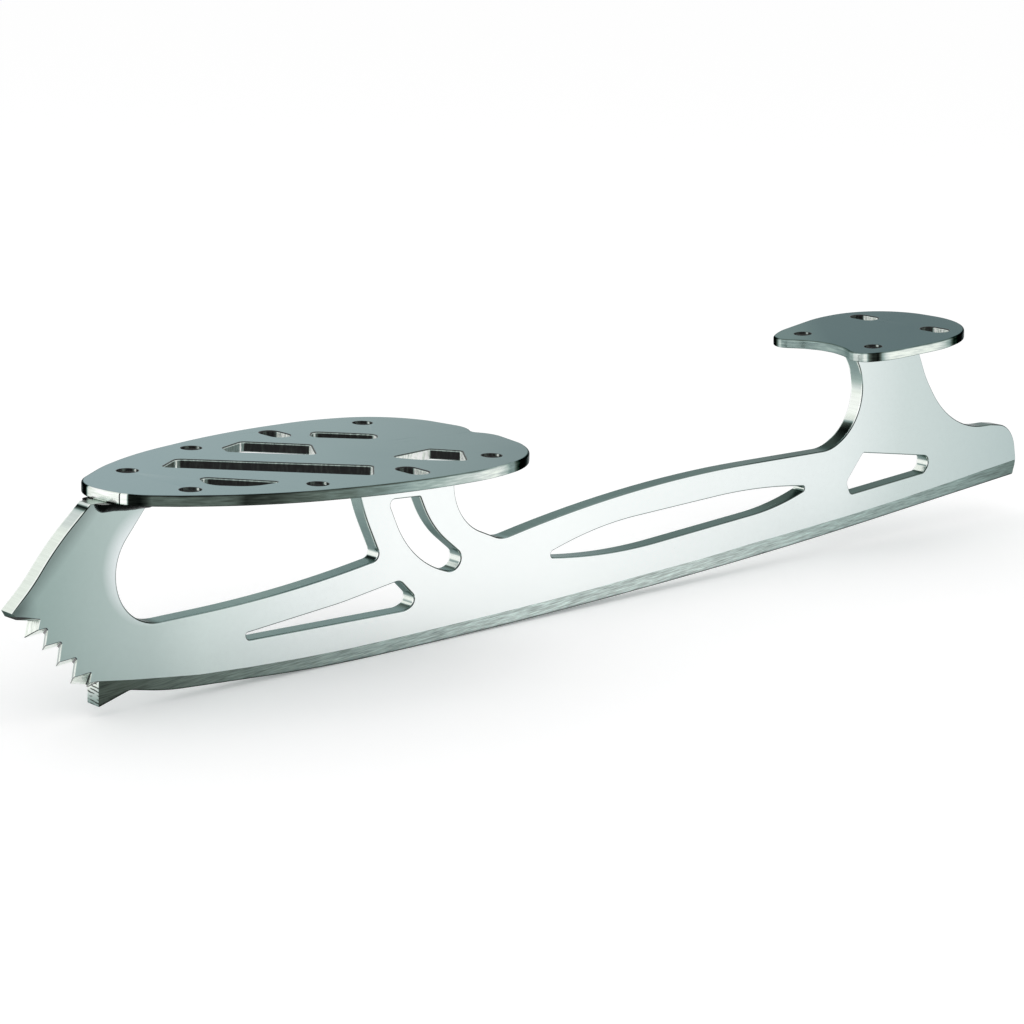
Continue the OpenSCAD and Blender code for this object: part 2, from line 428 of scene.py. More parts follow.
class Graph:
    """Adds nodes to one tree and joins them."""

    def __init__(self, tree: bpy.types.NodeTree) -> None:
        """Keeps the tree."""
        self.tree = tree

    def add(self, kind: str, inputs: dict | None = None, **options: object) -> bpy.types.Node:
        """Adds a node.

        Args:
            kind: The node's type, without the words that all shader nodes start with.
            inputs: Values or sockets for its inputs, by name or place.
            **options: Properties of the node.

        Returns:
            The node.
        """
        node = self.tree.nodes.new("ShaderNode" + kind)
        for name, value in options.items():
            setattr(node, name, value)
        for place, value in (inputs or {}).items():
            if isinstance(value, Socket):
                self.tree.links.new(value, node.inputs[place])
            else:
                node.inputs[place].default_value = value
        return node

    def shared(self, name: str, inputs: dict) -> dict[str, Socket]:
        """Outputs of a shared effect by name."""
        return dict(self.add("Group", inputs, node_tree=bpy.data.node_groups[name]).outputs.items())

    def maths(self, operation: str, *values: object) -> Socket:
        """Result of one sum on sockets or numbers."""
        return self.add("Math", dict(enumerate(values)), operation=operation).outputs[0]

    def spread(self, value: object, low: float, high: float, to_low: float, to_high: float) -> Socket:
        """A value carried from one range to another and held inside it."""
        return self.add("MapRange", {0: value, 1: low, 2: high, 3: to_low, 4: to_high}).outputs[0]

    def blend(self, share: object, a: object, b: object) -> Socket:
        """Colour between two colours."""
        return self.add("Mix", {0: share, 6: a, 7: b}, data_type="RGBA").outputs[2]

    def ramp(self, value: object, stops: tuple) -> Socket:
        """Colour from a row of stops.

        Args:
            value: Place in the row.
            stops: Places, each with a screen colour.

        Returns:
            The colour.
        """
        node = self.add("ValToRGB", {0: value})
        bar = node.color_ramp
        for end in (0, -1):
            bar.elements[end].position, bar.elements[end].color = stops[end][0], linear(stops[end][1])
        for place, colour in stops[1:-1]:
            bar.elements.new(place).color = linear(colour)
        return node.outputs[0]


def cleared(owner: bpy.types.Material | bpy.types.World) -> Graph:
    """Empties a node tree.

    Args:
        owner: The material or world that has it.

    Returns:
        Graph of the empty tree.
    """
    owner.use_nodes = True
    owner.node_tree.nodes.clear()
    return Graph(owner.node_tree)


def effect(
    name: str, inputs: dict[str, tuple[str, object]], outputs: tuple[str, ...]
) -> tuple[Graph, bpy.types.bpy_prop_collection, bpy.types.bpy_prop_collection]:
    """Starts a node group.

    Args:
        name: The group's name.
        inputs: Kind and first value of each input, by name.
        outputs: Names of the outputs, which are all numbers.

    Returns:
        The group's graph, the sockets that it is given and the sockets that it fills.
    """
    tree = bpy.data.node_groups.new(name, "ShaderNodeTree")
    for label, (kind, value) in inputs.items():
        socket = tree.interface.new_socket(label, in_out="INPUT", socket_type="NodeSocket" + kind)
        if value is not None:
            socket.default_value = value
    for label in outputs:
        tree.interface.new_socket(label, in_out="OUTPUT", socket_type="NodeSocketFloat")
    return Graph(tree), tree.nodes.new("NodeGroupInput").outputs, tree.nodes.new("NodeGroupOutput").inputs


def streak_effect() -> None:
    """Makes the group for fine parallel streaks, as a brush or a stone leaves them, with their depth from 0 to 1."""
    inputs = {"Vector": ("Vector", None), "Pitch": ("Vector", (1, 1, 1)), "Contrast": ("Float", 1)}
    g, given, out = effect("streaks", inputs, ("Depth",))
    place = g.add("VectorMath", {0: given["Vector"], 1: given["Pitch"]}, operation="MULTIPLY").outputs[0]
    noise = g.add("TexNoise", {"Vector": place, "Scale": 1.0, "Detail": 3.0, "Roughness": 0.6}).outputs["Fac"]
    scaled = g.maths("MULTIPLY_ADD", g.maths("SUBTRACT", noise, 0.5), given["Contrast"], 0.5)
    g.tree.links.new(g.add("Clamp", {0: scaled}).outputs[0], out["Depth"])


def handling_effect() -> None:
    """Makes the group for soft smudges and sparse hairline scratches from handling, each from 0 to 1."""
    g, given, out = effect("handling", {"Vector": ("Vector", None)}, ("Smudge", "Scratch"))
    cloud = g.add("TexNoise", {"Vector": given["Vector"], "Scale": 38.0, "Detail": 2.0}).outputs["Fac"]
    turned = g.add("Mapping", {"Vector": given["Vector"], "Rotation": (0.3, 0.5, 0.9), "Scale": (30, 900, 700)})
    fine = g.add("TexNoise", {"Vector": turned.outputs[0], "Scale": 1.0, "Detail": 1.0}).outputs["Fac"]
    g.tree.links.new(g.spread(cloud, 0.42, 0.72, 0, 1), out["Smudge"])
    g.tree.links.new(g.spread(fine, 0.7, 0.76, 0, 1), out["Scratch"])


# Screen colours of the walls' painted reflections, from tone 0 to tone 1
WALL_TONES = (
    (0.0, (1, 2, 2)), (0.08, (16, 20, 18)), (0.17, (37, 43, 39)), (0.3, (67, 77, 71)), (0.4, (89, 102, 95)),
    (0.5, (111, 128, 123)), (0.6, (134, 153, 150)), (0.7, (161, 179, 173)), (0.85, (208, 217, 213)),
    (0.93, (232, 240, 231)), (1.0, (252, 255, 252)),
)


@dataclass(frozen=True)
class MetalFinish:
    """A metal whose colour changes along the blade.

    The change and the glows stand for what the polished metal mirrors. They are painted too and don't move with the
    view.

    Attributes:
        name: Name of the material.
        stops: Places from the tail, 0, to the toe, 1, each with a screen colour.
        knee: Share from which a surface has the whole colour of its place.
        glows: Round patches of painted light and painted shade, each as x and z of its centre and the radii between
            which it
        fades out, in millimetres, its screen colour and its strength.
        across: How far a step to the left moves the place back.
        tint: Share of the reflection that is left at a flat angle.
        lean, pitch: Turn of the streaks about Y in degrees, and how close they lie along X, Y and Z, per metre.
        streak, mottle: How much the streaks change the colour, and how far they move a wall's tone.
        relief: Height of the streaks in millimetres.
        rough, smudge: Roughness of the clean metal, and how much smudges and scratches add to it.
        metallic, gloss: Share of the metal's mirror, the rest being matt, and strength of that rest's shine.
    """

    name: str
    stops: Table
    knee: float = 1.0
    glows: Table = ()
    across: float = 0.0
    tint: tuple[float, float, float] = (1, 1, 1)
    lean: float = 0.0
    rough: float = 0.12
    pitch: tuple[float, float, float] = (900, 900, 900)
    streak: float = 0.015
    relief: float = 0.002
    smudge: float = 0.08
    mottle: float = 0.0
    metallic: float = 1.0
    gloss: float = 0.5

    def material(self) -> bpy.types.Material:
        """Builds the material.

        Returns:
            The material.
        """
        made = bpy.data.materials.new(self.name)
        g = cleared(made)
        place = g.add("TexCoord").outputs["Object"]
        colour, depth = self.colour(g, place)
        handling = g.shared("handling", {"Vector": place})
        rough = self.rough
        for more, amount in (
            (handling["Smudge"], self.smudge), (handling["Scratch"], self.smudge), (depth, self.streak / 2),
        ):
            rough = g.maths("MULTIPLY_ADD", more, amount, rough)
        bump = g.add("Bump", {"Strength": 1.0, "Distance": self.relief * MM, "Height": depth})
        inputs = {"Base Color": colour, "Metallic": self.metallic, "Specular IOR Level": self.gloss}
        inputs |= {"Roughness": rough, "Normal": bump.outputs[0], "Specular Tint": (*self.tint, 1.0)}
        g.add("OutputMaterial", {"Surface": g.add("BsdfPrincipled", inputs).outputs[0]})
        return made

    def colour(self, g: Graph, place: Socket) -> tuple[Socket, Socket]:
        """Colour of the metal, and the streaks' depth.

        Args:
            g: The material's graph.
            place: Object coordinates.

        Returns:
            The sockets of the colour and of the depth.
        """
        parts = g.add("SeparateXYZ", {0: place}).outputs
        along = g.maths("MULTIPLY_ADD", parts[1], -self.across, parts[0])
        body = g.ramp(g.spread(along, TAIL_X, TOE_X, 0, 1), self.stops)
        for x, z, near, far, glow, amount in self.glows:
            flat = g.add("CombineXYZ", {0: parts[0], 2: parts[2]}).outputs[0]
            away = g.add("VectorMath", {0: flat, 1: (x * MM, 0, z * MM)}, operation="DISTANCE").outputs["Value"]
            body = g.blend(g.spread(away, near * MM, far * MM, amount, 0), body, linear(glow))
        turned = g.add("Mapping", {"Vector": place, "Rotation": (0, np.radians(self.lean), 0)}).outputs[0]
        depth = g.shared("streaks", {"Vector": turned, "Pitch": self.pitch, "Contrast": 2.0})["Depth"]
        # The tone attribute carries the walls' painted reflections and the rims' painted lines
        tone = g.add("Attribute", attribute_name="tone").outputs["Fac"]
        if self.mottle:
            tone = g.maths("ADD", tone, g.spread(depth, 0, 1, -self.mottle, self.mottle))
        wall = g.ramp(tone, WALL_TONES)
        share = g.add("Attribute", attribute_name="share").outputs["Fac"]
        body = g.blend(g.spread(share, 0, self.knee, 0, 1), wall, body)
        gain = g.spread(depth, 0, 1, 1 - self.streak, 1 + self.streak)
        return g.add("VectorMath", {0: body, "Scale": gain}, operation="SCALE").outputs[0], depth


RUNNER_PLATING_AND_REFLECTIONS = MetalFinish(
    "runner_plating_and_reflections",
    # Painted reflections: the face darkens towards the toe and the tail and is lightest in the middle
    stops=(
        (0.0, (176, 192, 191)), (0.16, (202, 214, 212)), (0.24, (226, 234, 233)), (0.35, (236, 242, 241)),
        (0.55, (247, 251, 250)), (0.7, (245, 249, 248)), (0.78, (232, 239, 238)), (0.86, (209, 221, 218)),
        (0.9, (182, 197, 194)), (0.97, (153, 172, 168)), (1.0, (140, 160, 156)),
    ),
    # Painted light beside the window's front curve, and painted shade along the leading edge and beside the beak
    glows=(
        (-13, -16, 9.2, 12.6, (236, 241, 243), 0.8),
        (228, 195.6, 300.3, 303, (0, 0, 0), 0.34),
        (18.6, -20.6, 0.5, 4.6, (0, 0, 0), 0.45),
    ),
)
RUNNER_WALL = replace(
    RUNNER_PLATING_AND_REFLECTIONS, name="runner_wall", glows=(), tint=(0.47, 0.53, 0.53), rough=0.16, pitch=(1500, 120, 1500),
    streak=0.08, relief=0.004,
)
SOLE_PLATING_AND_REFLECTIONS = MetalFinish(
    "sole_plating_and_reflections",
    # Painted reflections: the top darkens towards its rear and its left side
    stops=(
        (0.56, (103, 122, 124)), (0.63, (120, 139, 139)), (0.76, (143, 162, 163)), (0.9, (150, 169, 172)),
        (1.0, (154, 172, 176)),
    ),
    across=0.95, tint=(0.6, 0.67, 0.67), rough=0.14,
)
# Painted reflections: the heel plate's top is darker than the sole plate's and darkens towards its rear
HEEL_PLATING_AND_REFLECTIONS = replace(
    SOLE_PLATING_AND_REFLECTIONS, name="heel_plating_and_reflections",
    stops=((0.1, (95, 113, 114)), (0.15, (97, 115, 118)), (0.25, (103, 121, 123)), (0.29, (131, 150, 147))),
    tint=(0.45, 0.51, 0.51),
)
PLATE_EDGE = replace(
    SOLE_PLATING_AND_REFLECTIONS, name="plate_edge", tint=(0.3, 0.33, 0.33), pitch=(260, 260, 2600), streak=0.1, relief=0.004,
    mottle=0.07,
)
PIERCED_EDGE = replace(
    PLATE_EDGE, name="pierced_edge", tint=(1, 1, 1), rough=0.5, pitch=(1900, 1900, 420), mottle=0.16, metallic=0.45,
)
GROUND_EDGE = MetalFinish(
    "ground_edge",
    # Painted reflections of the satin ground edge, lightest in the middle of the blade and darkest at the toe
    stops=(
        (0.0, (106, 124, 119)), (0.06, (130, 149, 145)), (0.23, (166, 183, 179)), (0.4, (193, 205, 201)),
        (0.6, (189, 202, 198)), (0.7, (165, 180, 176)), (0.83, (118, 132, 126)), (0.92, (78, 88, 81)),
        (1.0, (62, 70, 64)),
    ),
    knee=0.12, lean=-4, rough=0.3, pitch=(240, 1900, 5200), streak=0.6, relief=0.006,
)
CUT_STEEL = MetalFinish(
    "cut_steel", ((0, (150, 164, 172)), (1, (150, 164, 172))), rough=0.16, pitch=(500, 1700, 500), streak=0.3,
    relief=0.004,
)


@dataclass(frozen=True)
class HatchedFinish(MetalFinish):
    """Cut steel with a coarse slanting hatch pressed into it.

    Attributes:
        lines: Lines of the hatch per metre.
        slant: Rise of the lines against the width.
        stray: How far the lines stray, in millimetres.
        dark: Screen colour of the lines.
    """

    lines: float = 1350
    slant: float = -0.08
    stray: float = 0.4
    dark: tuple[float, float, float] = (34, 42, 36)

    def colour(self, g: Graph, place: Socket) -> tuple[Socket, Socket]:
        """Colour with the hatch's dark lines, and the depth of the hatch.

        Args:
            g: The material's graph.
            place: Object coordinates.

        Returns:
            The sockets of the colour and of the depth.
        """
        body, depth = super().colour(g, place)
        parts = g.add("SeparateXYZ", {0: place})
        height = g.maths("MULTIPLY_ADD", parts.outputs[1], -self.slant, parts.outputs[2])
        wander = g.add("TexNoise", {"Vector": place, "Scale": 900.0, "Detail": 1.0}).outputs["Fac"]
        broken = g.add("TexNoise", {"Vector": place, "Scale": 620.0, "Detail": 0.0}).outputs["Fac"]
        height = g.maths("MULTIPLY_ADD", wander, self.stray * MM, height)
        wave = g.maths("SINE", g.maths("MULTIPLY", height, self.lines * 2 * np.pi))
        groove = g.maths("MULTIPLY", g.spread(wave, 0.1, 0.8, 0, 1), g.spread(broken, 0.36, 0.5, 0, 1))
        return g.blend(groove, body, linear(self.dark)), g.maths("SUBTRACT", depth, groove)


# Painted shade: the beak's underside is made matt and near black
DARK_UNDERSIDE = replace(CUT_STEEL, name="dark_underside", rough=0.6, metallic=0.0, gloss=0.1, streak=0.2)
HATCH = HatchedFinish("hatched_steel", ((0, (232, 241, 232)), (1, (232, 241, 232))), rough=0.25, relief=0.02)
BRAZE = MetalFinish(
    "braze_metal", stops=((0.0, (58, 60, 55)), (0.6, (40, 42, 39)), (0.8, (12, 14, 13)), (1.0, (8, 10, 9))),
    pitch=(200, 350, 350), streak=0.3, relief=0.012, smudge=0.1,
)

# The tables below were written from tones read along the edges in the photograph, thinned and rounded

# How much the rims' two painted lines, the highlight and the dark one, show on the runner's walls, by their angle
WALL_LINES = (
    (-180, 0.6), (-60, 0), (-40, 0.9), (-24, 0.9), (-18, 0), (-12, 0), (-4, 1), (55, 1), (75, 0), (110, 0), (135, 0.6),
    (180, 0.6),
)

# Painted light and shade added to the tone of the runner's walls that face up, by their place along the blade, and by
# their angle from straight up
WALL_LIFT = ((-244, -0.06), (-213, -0.1), (-190, -0.03), (-150, -0.01), (-130, 0.07), (-38, 0.14), (-10, 0.12))
UPWARD = ((15, 1), (30, 0))

# Brightness of the leading edge by its height, with the dark band under the sole plate
PLATE_SHADE = ((-4.1, 1), (-3.5, 0.9), (-3.3, 0.7), (-3.1, 0.05), (-2.8, 0.05), (-2.6, 1))

# Tone taken from the steep faces of the teeth, by the share of their thickness
TOOTH_STRIPE = ((0.16, 0), (0.4, 0.5), (0.6, 0.5), (0.84, 0))

# Painted reflections on the runner's walls, teeth and edges, by the way each wall faces
RUNNER_REFLECTIONS = PaintedReflections(
    (
        (-180, 0.6), (-135, 0.5), (-90, 0.55), (-45, 0.5), (-34, 0.59), (-22, 0.6), (-12, 0.66), (-2, 0.88), (6, 0.96),
        (24, 0.96), (34, 0.9), (38, 0.35), (46, 0.12), (56, 0.25), (78, 0.4), (86, 0.52), (92, 0.5), (98, 0.25),
        (104, 0.1), (125, 0.15), (150, 0.4), (180, 0.6),
    ),
    shown=WALL_LINES,
)
SLOT_REFLECTIONS = replace(
    RUNNER_REFLECTIONS,
    stops=(
        (-180, 0.6), (-135, 0.5), (-90, 0.55), (-45, 0.5), (-34, 0.59), (-22, 0.6), (-12, 0.7), (-8, 0.95), (24, 0.95),
        (28, 0.3), (30, 0.3), (34, 0.92), (52, 0.95), (58, 0.85), (62, 0.3), (86, 0.5), (98, 0.5), (110, 0.3),
        (125, 0.25), (180, 0.6),
    ),
)
LEADING_REFLECTIONS = PaintedReflections(
    (
        (-180, 0.03), (-70, 0.03), (-32, 0.34), (-20, 0.4), (-5, 0.9), (45.5, 0.93), (47, 0.86), (60, 0.84), (80, 0.97),
        (180, 0.97),
    ),
    shown=((-180, 0), (10, 0), (25, 1), (180, 1)),
)
CUT_REFLECTIONS = PaintedReflections(
    (
        (-180, 0.6), (-110, 0.93), (-74, 0.94), (-70, 0.01), (-6, 0.01), (-1, 0.88), (20, 0.96), (90, 0.6), (180, 0.6),
    ),
    line=0.1, gleam=None, shown=((-180, 0.2), (-130, 0.3), (-110, 1), (-70, 1), (-30, 0.5), (4, 0), (180, 0)),
)
GROUND_REFLECTIONS = PaintedReflections(((-180, 0.6), (180, 0.6)), gleam=None)
# Painted reflections on the plates' edges, holes, slots and cuts, by the way each wall faces
SOLE_REFLECTIONS = PaintedReflections(
    (
        (-180, 0.03), (-135, 0.03), (-105, 0.8), (-90, 0.7), (-60, 0.15), (-42, 0.02), (-11, 0.02), (-7, 0.92),
        (0, 0.96), (15.5, 0.96), (16.5, 0.1), (27, 0.1), (28.5, 1.0), (30, 1.0), (31, 0.1), (40, 0.05), (45, 0.2),
        (48, 0.36), (61.5, 0.35), (62.5, 0.14), (80, 0.52), (93, 0.87), (98, 0.9), (100, 0.87), (103.5, 0.7),
        (106, 0.43), (108.5, 0.27), (112, 0.14), (120, 0.07), (135, 0.04), (180, 0.04),
    ),
    hollow=0.5, line=0.1, gleam=None,
    shown=((-180, 0.6), (-60, 0.4), (-20, 0), (38, 0), (44, 1), (62, 1), (75, 0.6), (92, 0.5), (104, 0), (180, 0.6)),
)
HEEL_REFLECTIONS = PaintedReflections(
    (
        (-180, 0.1), (-113, 0.02), (-100, 0.2), (-90, 0.8), (-67, 0.9), (-60, 0.02), (-24, 0.02), (-12, 0.28),
        (-2, 0.8), (14, 0.87), (30, 0.68), (34, 0.97), (40, 0.85), (45, 0.45), (50, 0.3), (60, 0.17), (62.5, 0.03),
        (65, 0.6), (68, 0.84), (72, 0.91), (84, 0.9), (91, 0.78), (95.5, 0.6), (99.5, 0.2), (106, 0.06), (113, 0.02),
        (140, 0.02), (180, 0.1),
    ),
    hollow=0.62, line=0.1, gleam=None, shown=((-180, 0.5), (-40, 0.3), (60, 0.5), (90, 0.5), (110, 0), (180, 0.5)),
)
PIERCED_REFLECTIONS = PaintedReflections(
    (
        (-180, 0.5), (-90, 0.8), (-70, 1.0), (-8, 1.0), (4, 0.95), (10, 0.3), (18, 0.02), (58, 0.06), (66, 0.5),
        (74, 0.55), (80, 0.35), (86, 1.0), (100, 1.0), (105, 0.6), (124, 0.34), (140, 0.3), (180, 0.5),
    ),
    line=0.16, gleam=0.97, flute=0.04,
)
HOLE_REFLECTIONS = PaintedReflections(
    (
        (-180, 0.3), (-90, 0.4), (-60, 0.5), (-30, 0.1), (-2, 0.05), (4, 0.9), (18, 0.95), (23, 0.1), (34, 0.02),
        (60, 0.06), (72, 0.3), (84, 0.35), (95, 0.1), (110, 0.02), (150, 0.02), (180, 0.3),
    ),
    line=0.02, gleam=None, flute=0.12,
)
SIDEWAYS_REFLECTIONS = replace(
    HOLE_REFLECTIONS,
    stops=(
        (-180, 0.3), (-90, 0.6), (-60, 0.9), (-8, 1.0), (4, 0.9), (12, 0.75), (18, 0.1), (30, 0.02), (60, 0.06),
        (80, 0.35), (95, 0.1), (110, 0.02), (150, 0.02), (180, 0.3),
    ),
)


# Runner


class Levels:
    """Levels of a wall's depth, from the rim on the left face to the rim on the right one.

    Each has an angle, the rim's turn, a side, 1 or -1 for its rim and 0 on the plain wall, and the share of the plain
    wall that is past.
    """

    rim = np.radians([90, 67.5, 45, 22.5, 0])
    plain = np.array([0.07, 0.16, 0.33, 0.5, 0.67, 0.84, 0.93])
    angle = np.concatenate([rim, 0 * plain, rim[::-1]])
    side = np.repeat([1, 0, -1], [len(rim), len(plain), len(rim)])
    past = np.concatenate([0 * rim, plain, 0 * rim + 1])

    @classmethod
    def depth(cls, half: float, rim: Array | float) -> Array:
        """Depth of each level in a wall of that half thickness, between rims of that radius."""
        return (half - rim) * (1 - 2 * cls.past) + cls.side * rim * np.sin(cls.angle)

    @classmethod
    def facing(cls, wall: Array) -> Array:
        """Normals of the levels, turned from the plain wall's own towards the faces."""
        return unit(wall * np.cos(cls.angle)[:, None] + [0, 1, 0] * (cls.side * np.sin(cls.angle))[:, None])


@dataclass
class Runner:
    """The steel runner with its toe pick, posts and slots.

    The outline runs from the front of the sole plate down the leading edge, back along the ground edge and forward
    again over the posts. Its corners are rows of x, z and radius.

    Attributes:
        thick: Thickness of the steel.
        hollow: Depth of the groove ground along the edge.
        steps, least: Points in each arc, and its smallest radius.
        leading: Leading edge down to the beak.
        beak_left, beak_drop: Beak on the left face, and how far its corners move over the thickness.
        tooth: Root of the first tooth on the left face, and how far it moves over the thickness.
        reach: Direction of that tooth's front, as forward and down.
        gullets, cut_shift: Roots of the notches on the left face, and how far they move back and down.
        roof, steep: Slopes of a notch's roof, as z over x, and of its floor, as x over z.
        plane: Plane that cuts the last tooth, as x and z on the right face and its slopes along X and Y.
        striped: Steepness, in degrees from upright, and place up to which the teeth have a grey stripe.
        drag, edge, tail: Drag pick behind its front, ground edge, and tail up to the heel plate.
        heel_ends, middle_ends, front_ends: Rear and front end of each post under its plate.
        deck, window: Upper side between heel post and middle post, and the window in front of that one.
        slots: Slots through the runner.
        band, waves: Upper limit of the ground edge, and height, radians per millimetre and phase of its two waves.
    """

    thick: float = RUNNER_T
    hollow: float = 0.16
    steps: int = 16
    least: float = 0.12
    leading: Table = (
        (2.45, -2.52, 1), (2.8, -2.85, 1), (3.2, -3.21, 1), (3.5, -3.486, 1), (4.1, -4.038, 1), (9.6, -9.1, 60),
        (15, -16.1, 40),
    )
    beak_left: Table = ((19.55, -20.6, 0.15), (18.75, -21.4, 0.15), (16.4, -21.9, 0.6))
    beak_drop: Table = ((0, 0), (0, -0.6), (0, -1.25))
    tooth: tuple[float, float, float, float] = (13.45, -22.65, 0.35, -1.05)
    reach: tuple[float, float] = (1.35, 5.05)
    gullets: Table = ((11.8, -24.6), (8.7, -27.8), (5.4, -31.5), (2.2, -35.1))
    cut_shift: tuple[float, float] = (1.65, 2.0)
    roof: float = -0.95 / 12
    steep: float = 1.56 / 9
    plane: tuple[float, float, float, float] = (4.6, -37.8, 0.2382, 0.8656)
    striped: tuple[float, float] = (25, 13)
    drag: Table = ((0.6, -42.4, 0), (-6.7, -40.3, 2))
    edge: Table = ((-15.2, -42.1, 60), (-55.9, -44.7, 500), (-152.6, -44.3, 2700), (-292.2, -34.1, 0.6))
    tail: Table = ((-293.6, -31, 6), (-290.9, -20.6, 9), (-281.2, -19.3, 9.5), (-263.8, -19, 30), (-251.9, -4, 29))
    heel_ends: tuple[float, float] = (-244.9, -221)
    deck: Table = (
        (-229.3, -5.3, 13), (-221.5, -15.1, 14), (-215.4, -18.2, 13), (-145.5, -17.5, 450), (-104.5, -24.6, 8),
        (-95.6, -20.8, 14), (-88.9, -13.8, 13.5),
    )
    middle_ends: tuple[float, float] = (-91.6, -61.7)
    window: Table = ((-65.5, -14.2, 43), (-70, -23.7, 1.6), (-46, -27.4, 320), (-6.3, -27.9, 10), (-2.5, -14.8, 11.5))
    front_ends: tuple[float, float] = (-12.3, 2.1)
    slots: tuple = (
        ((-34.7, -33.8, 0.5), (-35, -35.3, 1.2), (-77.3, -36.1, 5), (-80.5, -34.3, 1.7), (-75.3, -29.3, 2.2),
         (-59.5, -31.6, 80)),
        ((-71.7, -11.4, 1.1), (-80.5, -11.8, 0.5), (-83.9, -19, 24), (-93.6, -26.8, 2.2), (-90.5, -29.9, 3),
         (-78.3, -25.7, 23)),
        ((-116.4, -30.6, 0.8), (-137.6, -33.5, 170), (-195.2, -30.2, 80), (-208.7, -26.5, 0.7),
         (-189.5, -23.9, 190), (-134.3, -25.8, 110)),
        ((-222.2, -27.3, 1.5), (-224, -30.6, 1.5), (-253.3, -28.8, 1.5), (-257, -24.9, 2), (-228.1, -20.5, 1)),
    )
    band: Table = (
        (0.6, -37.15), (-6.7, -38.2), (-14.9, -39.25), (-23.4, -40.15), (-35.8, -40.95), (-48.6, -41.55),
        (-61.9, -41.8), (-75.6, -41.7), (-89.8, -41.5), (-104.6, -41.25), (-119.8, -40.85), (-135.7, -40.35),
        (-152.1, -39.75), (-169.1, -38.95), (-186.8, -38.0), (-205.2, -37.0), (-224.3, -35.9), (-244.2, -34.55),
        (-264.9, -32.8), (-280, -31.3), (-292.6, -30.4),
    )
    waves: Table = ((0.07, 0.9, 0), (0.05, 0.37, 1))

    def share(self, y: Array) -> Array:
        """Share of the thickness between the left face and a depth."""
        return (self.thick / 2 - y) / self.thick

    def heel_under(self, x: float) -> float:
        """Height of the heel plate's underside above a place along the blade."""
        lean = np.radians(HEEL_PITCH)
        return float(HEEL_RISE - PLATE_T / np.cos(lean) - (x - HEEL_X) * np.tan(lean))

    def teeth(self, y: Array) -> Array:
        """Corners of the toe pick from its first tip down to the root of the drag pick.

        Formula: at a depth y every gullet has moved back and down by its share of the cut's shift. A notch has a
        nearly level roof and a steep floor through its gullet. A tip is where a floor meets the next roof, and the
        last roof is the lower of its own line and a plane that leans across the thickness.

        Args:
            y: Depths with shape (m,).

        Returns:
            Corners with shape (m, 11, 3), each with its radius.
        """
        share, roof, steep = self.share(y), self.roof, self.steep
        gx, gz = np.array(self.gullets).T[:, :, None] - share * np.array(self.cut_shift)[:, None, None]
        foot = gx + steep * gz  # Where each floor, carried on, is level with the sole plate's top
        x0, z0 = self.tooth[0] + share * self.tooth[2], self.tooth[1] + share * self.tooth[3]
        t = (z0 - gz[0] - roof * (x0 - gx[0])) / (self.reach[1] + self.reach[0] * roof)
        corners = [(x0 + self.reach[0] * t, z0 - self.reach[1] * t), (gx[0], gz[0])]
        tips = (gz[1:] + roof * (foot[:-1] - gx[1:])) / (1 + roof * steep)
        for i in (0, 1):
            corners += [(foot[i] - steep * tips[i], tips[i]), (gx[i + 1], gz[i + 1])]
        at_x, at_z, lean, across = self.plane
        base = at_z - lean * at_x + across * (y + self.thick / 2)
        tip_z = np.minimum(tips[2], (base + lean * foot[2]) / (1 + lean * steep))
        tip_x = foot[2] - steep * tip_z
        root_z = np.minimum(gz[3], (base + lean * foot[3]) / (1 + lean * steep))
        root_x = foot[3] - steep * root_z
        margin = 0.25
        crease_x = np.clip((gz[3] - roof * gx[3] - base) / (lean - roof), root_x + margin, tip_x - margin)
        crease_z = np.minimum(gz[3] + roof * (crease_x - gx[3]), base + lean * crease_x)
        drag_x, drag_z = self.band[0][0] + 0 * y, self.band[0][1] - share * self.cut_shift[1]
        corners += [(tip_x, tip_z), (crease_x, crease_z), (root_x, root_z), (foot[3] - steep * drag_z, drag_z)]
        corners.append((drag_x, drag_z))
        tip, root, last_root = 0.17, 0.45, 0.3
        radii = (tip, root, tip, root, tip, root, tip, tip, last_root, 0, 0)
        return np.stack([np.stack([x, z, 0 * y + r], -1) for (x, z), r in zip(corners, radii)], 1)

    def beak(self, y: Array) -> Array:
        """Corners of the beak above the first tooth.

        Formula: from the left face to the right one the beak's underside drops, more and more towards the rear.

        Args:
            y: Depths with shape (m,).

        Returns:
            Corners with shape (m, 4, 3).
        """
        left = np.array([*self.beak_left, (*self.tooth[:2], self.least)])
        drop = np.array([*self.beak_drop, self.tooth[2:]])
        return left + self.share(y)[:, None, None] * np.pad(drop, ((0, 0), (0, 1)))

    def corners(self, y: Array) -> tuple[Array, Array, Array, Array]:
        """Corners of the whole outline at each depth, in the order in which it runs.

        Args:
            y: Depths with shape (m,).

        Returns:
            Corners with shape (m, n, 3), and for each corner the radius of the rim beside it, the zone of its arc
            and the side that follows, and how much of the groove runs there.
        """
        wall, ground, cut, hatched, dark = (zone.value for zone in list(Zone)[1:])
